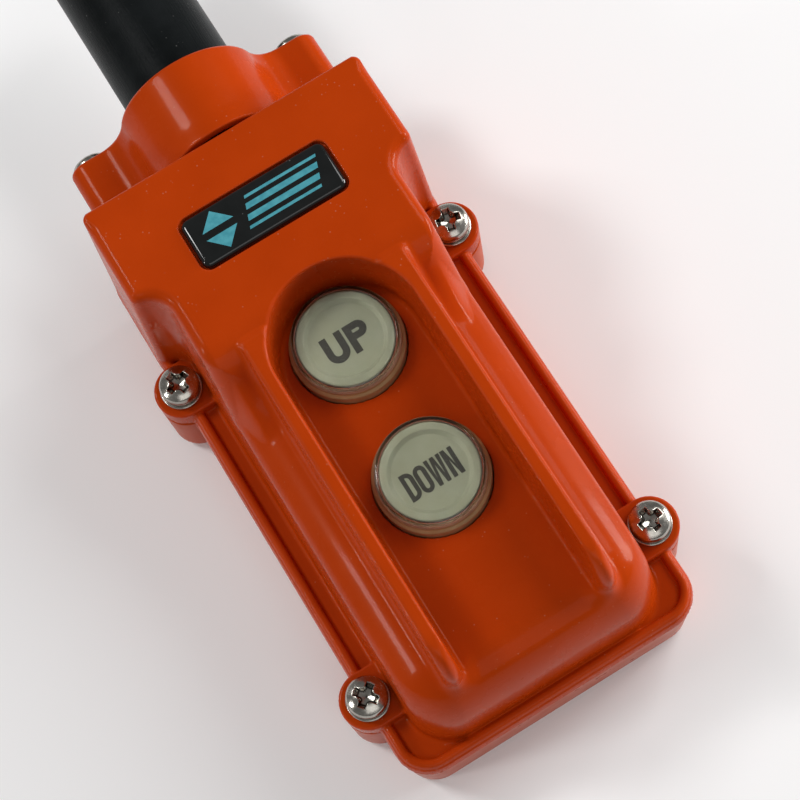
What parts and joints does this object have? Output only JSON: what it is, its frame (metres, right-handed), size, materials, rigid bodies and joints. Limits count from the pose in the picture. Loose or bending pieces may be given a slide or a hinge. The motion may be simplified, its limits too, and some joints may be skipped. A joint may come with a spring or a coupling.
{
  "type": "pendant control station",
  "caption": "Orange two-button hoist pendant with ribbed button channel, screwed front and rear covers, cable clamp cap and rubber cable sleeve.",
  "frame": {"origin": "middle of the housing's plan on the flat back face of the rear cover", "axes": "+Z is the front normal, out of the button face; +Y runs along the length towards the cable sleeve; +X is to the right seen from the front"},
  "size_m": [0.0734, 0.1906, 0.0527],
  "materials": {
    "orange_plastic": "glossy moulded plastic",
    "orange_plastic_rear": "glossy moulded plastic",
    "gasket_rubber": "matt rubber",
    "black_rubber": "satin rubber",
    "label_black_gloss": "domed clear resin over black",
    "plated_steel": "zinc-plated steel",
    "clear_plastic": "clear moulded plastic",
    "legend_white": "grey-white moulded plastic",
    "plunger_plastic": "ivory moulded plastic",
    "seal_rubber": "natural tan rubber",
    "brass": "stamped brass",
    "spring_steel": "drawn spring wire",
    "black_phenolic": "moulded insulating resin"
  },
  "bodies": {
    "housing": {"front_cover": "orange_plastic", "rear_cover": "orange_plastic_rear", "cover_gasket": "gasket_rubber", "cable_clamp_cap": "orange_plastic", "cable_sleeve": "black_rubber", "label_plate": "label_black_gloss", "cover_screw_head_left": "plated_steel", "spring_washer_head_left": "plated_steel", "flat_washer_head_left": "plated_steel", "cover_screw_head_right": "plated_steel", "spring_washer_head_right": "plated_steel", "flat_washer_head_right": "plated_steel", "cover_screw_foot_left": "plated_steel", "spring_washer_foot_left": "plated_steel", "flat_washer_foot_left": "plated_steel", "cover_screw_foot_right": "plated_steel", "spring_washer_foot_right": "plated_steel", "flat_washer_foot_right": "plated_steel", "cap_screw_left": "plated_steel", "block_screw_left": "plated_steel", "cap_screw_right": "plated_steel", "block_screw_right": "plated_steel", "button_seal_up": "seal_rubber", "return_spring_up": "spring_steel", "fixed_contact_up_left": "brass", "terminal_screw_up_left": "plated_steel", "fixed_contact_up_right": "brass", "terminal_screw_up_right": "plated_steel", "button_seal_down": "seal_rubber", "return_spring_down": "spring_steel", "fixed_contact_down_left": "brass", "terminal_screw_down_left": "plated_steel", "fixed_contact_down_right": "brass", "terminal_screw_down_right": "plated_steel", "contact_block": "black_phenolic", "block_plate": "black_phenolic"},
    "button_up": {"button_cap_up": "clear_plastic", "legend_disc_up": "legend_white", "plunger_up": "plunger_plastic", "contact_bridge_up": "brass"},
    "button_down": {"button_cap_down": "clear_plastic", "legend_disc_down": "legend_white", "plunger_down": "plunger_plastic", "contact_bridge_down": "brass"}
  },
  "joints": [
    {"name": "up_press", "type": "slide", "parent": "housing", "child": "button_up", "axis": [0, 0, -1], "range_m": [0, 0.0035], "stiffness_N_per_m": 800, "springref_m": -0.0015, "deforming": ["return_spring_up"]},
    {"name": "down_press", "type": "slide", "parent": "housing", "child": "button_down", "axis": [0, 0, -1], "range_m": [0, 0.0035], "stiffness_N_per_m": 800, "springref_m": -0.0015, "deforming": ["return_spring_down"]}
  ]
}
